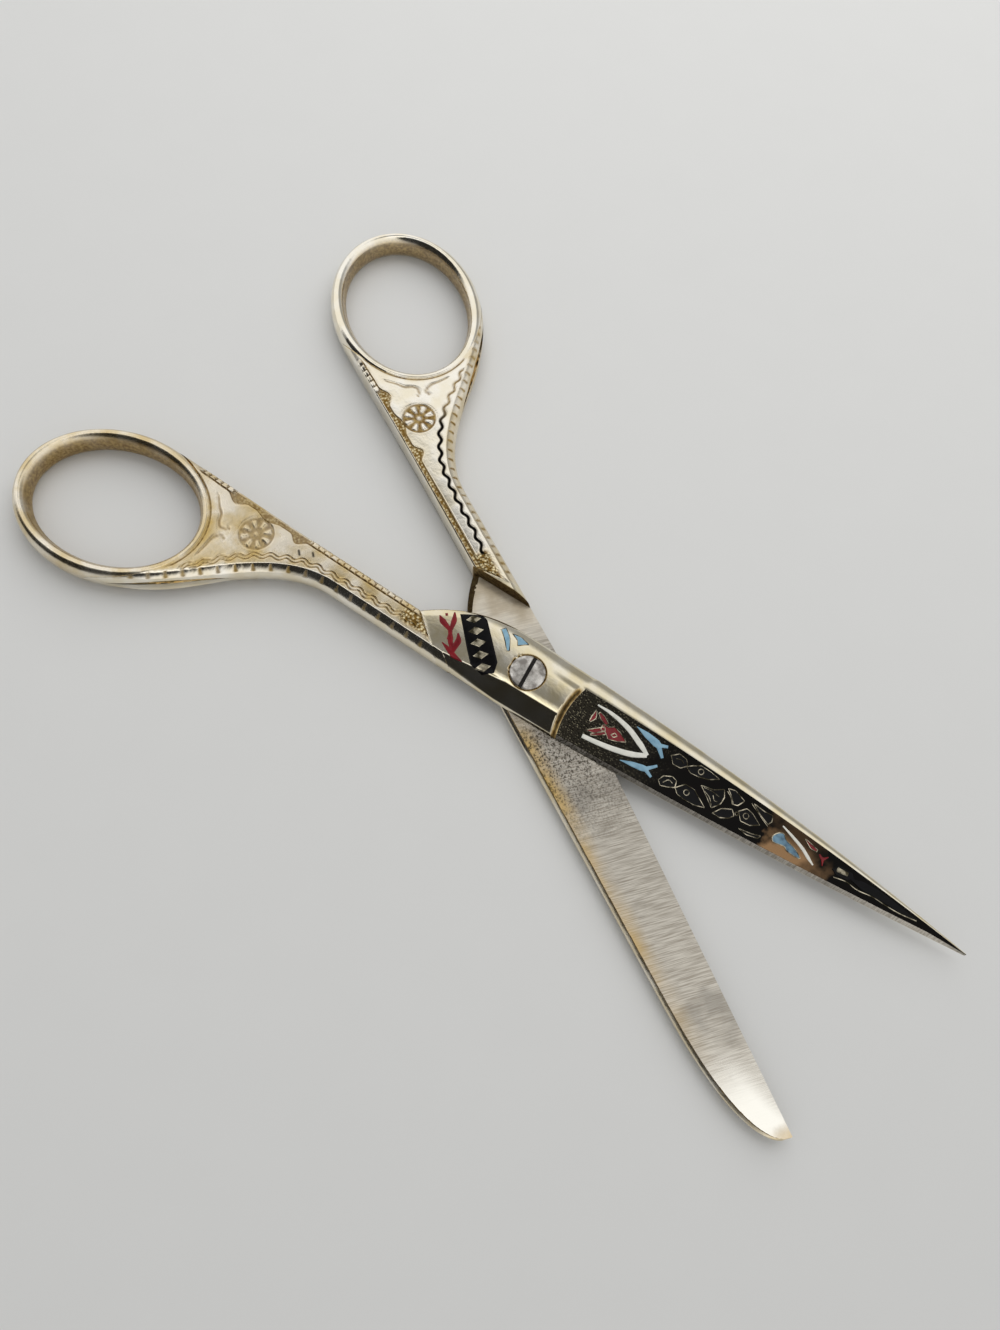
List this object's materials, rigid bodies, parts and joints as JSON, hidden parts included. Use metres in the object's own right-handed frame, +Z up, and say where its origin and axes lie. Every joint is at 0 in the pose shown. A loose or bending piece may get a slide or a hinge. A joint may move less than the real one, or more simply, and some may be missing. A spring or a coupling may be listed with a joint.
{
  "type": "sewing scissors",
  "caption": "Gilt steel sewing scissors with oval bows, a pointed and a blunt blade on a slotted pivot screw, and coloured enamel set in the front blade.",
  "frame": {"origin": "on the pivot axis, at the underside of the joint, which is the surface that the scissors lie on", "axes": "+X midway between the open blades towards their points, +Y towards the pointed blade, +Z up, away from the surface"},
  "size_m": [0.1442, 0.0832, 0.0048],
  "materials": {
    "gilt_steel": "polished steel with thin pale gold plating, ground bare on the rubbing faces",
    "nickel_steel": "nickel plated, worn",
    "enamel_red": "glossy enamel",
    "enamel_white": "glossy enamel",
    "enamel_blue": "glossy enamel",
    "enamel_black": "glossy enamel"
  },
  "bodies": {
    "back": {"blunt_half": "gilt_steel", "pivot_screw": "nickel_steel"},
    "front": {"pointed_half": "gilt_steel", "enamel_red_sprig_bud": "enamel_red", "enamel_red_sprig_stem": "enamel_red", "enamel_red_sprig_leaf": "enamel_red", "enamel_black_joint_band": "enamel_black", "enamel_blue_joint_leaf": "enamel_blue", "enamel_blue_joint_petal": "enamel_blue", "enamel_white_chevron": "enamel_white", "enamel_red_petal_top": "enamel_red", "enamel_red_petal_foot": "enamel_red", "enamel_red_petal_centre": "enamel_red", "enamel_blue_fin_top": "enamel_blue", "enamel_blue_fin_foot": "enamel_blue", "enamel_black_lace": "enamel_black", "enamel_blue_point_leaf": "enamel_blue", "enamel_white_point_bar": "enamel_white", "enamel_red_point_petal": "enamel_red", "enamel_red_point_bud": "enamel_red", "enamel_black_eye": "enamel_black", "enamel_black_point_blade": "enamel_black"}
  },
  "joints": [
    {"name": "pivot", "type": "hinge", "parent": "back", "child": "front", "pos_m": [0, 0, 0.0023], "axis": [0, 0, 1], "range_deg": [-28.7, 90]}
  ]
}
